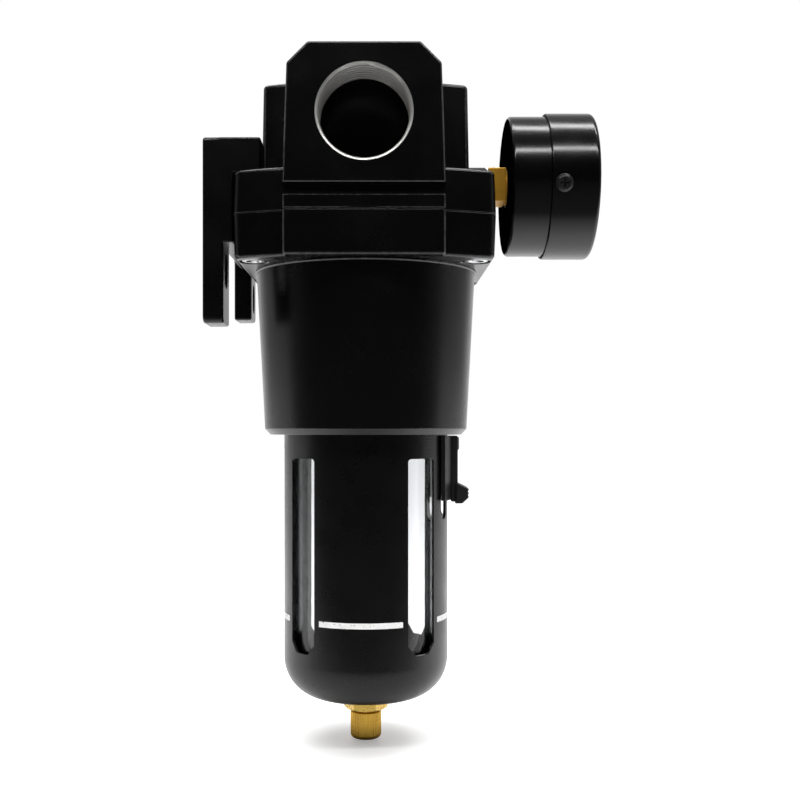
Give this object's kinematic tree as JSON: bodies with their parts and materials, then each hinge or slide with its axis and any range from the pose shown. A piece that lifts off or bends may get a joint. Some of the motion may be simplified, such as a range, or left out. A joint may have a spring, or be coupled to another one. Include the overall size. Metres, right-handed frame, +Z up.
{
  "type": "compressed air filter",
  "caption": "Modular compressed air filter: die-cast head with through ports, bayonet bowl with slotted guard, manual drain, wall bracket and side dial gauge.",
  "frame": {"origin": "the point of the wall_face mount: on the wall bracket's back face, in the middle plane of the head, 43 mm below the top of the head", "axes": "+Z up along the bowl axis, -Y towards the inlet port face, +Y towards the outlet port face, +X towards the gauge, -X towards the wall"},
  "size_m": [0.1372, 0.1105, 0.2412],
  "materials": {
    "black_paint": "semi-matt black paint over a die casting",
    "gauge_black": "satin black enamel on pressed steel",
    "guard_black": "satin black coating on drawn steel",
    "lock_plastic": "moulded black nylon",
    "clear_polycarbonate": "clear moulded polycarbonate",
    "rubber": "black nitrile rubber",
    "zinc_steel": "bright zinc plate",
    "stainless": "drawn stainless steel",
    "drain_brass": "turned brass",
    "gauge_brass": "machined brass",
    "filter_media": "sintered porous filter media",
    "white_plastic": "moulded white acetal",
    "black_plastic": "moulded black plastic",
    "dial_white": "matt white enamel with black graduations",
    "gauge_glass": "clear flat window"
  },
  "bodies": {
    "head_unit": {"head_body": "black_paint", "housing": "black_paint", "housing_oring": "rubber", "housing_screw_1": "zinc_steel", "housing_screw_2": "zinc_steel", "housing_screw_3": "zinc_steel", "housing_screw_4": "zinc_steel", "wall_bracket": "black_paint", "bracket_screw_1": "zinc_steel", "bracket_screw_2": "zinc_steel", "deflector": "white_plastic", "element_gasket": "rubber", "filter_element": "filter_media", "element_stud": "stainless", "baffle": "black_plastic", "baffle_nut": "drain_brass", "gauge_stem": "gauge_brass", "gauge_case": "gauge_black", "gauge_bezel": "gauge_black", "gauge_window": "gauge_glass", "gauge_dial": "dial_white", "dial_screw_1": "gauge_brass", "dial_screw_2": "gauge_brass", "bourdon_tube": "gauge_brass", "movement_frame": "gauge_brass", "case_screw_1": "zinc_steel", "case_screw_2": "zinc_steel"},
    "bowl_unit": {"bowl_guard": "guard_black", "bowl": "clear_polycarbonate", "bowl_oring": "rubber", "lock_spring": "stainless", "drain_body": "drain_brass", "drain_nut": "drain_brass", "drain_seal": "rubber"},
    "lock": {"lock_button": "lock_plastic"},
    "drain_stem": {"drain_stem_oring": "rubber"},
    "drain_valve": {"drain_knob": "drain_brass"},
    "pointer": {"gauge_pointer": "black_plastic", "pinion_shaft": "gauge_brass"},
    "sector": {"sector_gear": "gauge_brass"},
    "link": {"gauge_link": "stainless"}
  },
  "joints": [
    {"name": "bowl_turn", "type": "hinge", "parent": "head_unit", "child": "bowl_unit", "pos_m": [0.0552, 0, -0.08], "axis": [0, 0, 1], "range_deg": [0, 45]},
    {"name": "lock_slide", "type": "slide", "parent": "bowl_unit", "child": "lock", "axis": [0, 0, -1], "range_m": [0, 0.005], "stiffness_N_per_m": 300, "springref_m": -0.004, "deforming": ["lock_spring"]},
    {"name": "drain_slide", "type": "slide", "parent": "bowl_unit", "child": "drain_stem", "axis": [0, 0, -1], "range_m": [0, 0.0015]},
    {"name": "drain_turn", "type": "hinge", "parent": "drain_stem", "child": "drain_valve", "pos_m": [0.0552, 0, -0.1935], "axis": [0, 0, -1], "range_deg": [0, 360]},
    {"name": "pointer_turn", "type": "hinge", "parent": "head_unit", "child": "pointer", "pos_m": [0.1291, 0, 0.0045], "axis": [-1, 0, 0], "range_deg": [0, 270]},
    {"name": "sector_turn", "type": "hinge", "parent": "head_unit", "child": "sector", "pos_m": [0.1205, 0, -0.0095], "axis": [1, 0, 0], "range_deg": [0, 45]},
    {"name": "link_turn", "type": "hinge", "parent": "sector", "child": "link", "pos_m": [0.11915, 0.00831, -0.01294], "axis": [-1, 0, 0], "range_deg": [0, 45]}
  ],
  "couplings": [
    {"joint": "drain_turn", "follows": "drain_slide", "rad_per_m": 4188.8},
    {"joint": "sector_turn", "follows": "pointer_turn", "ratio": 0.16667},
    {"joint": "link_turn", "follows": "pointer_turn", "ratio": 0.16667}
  ]
}
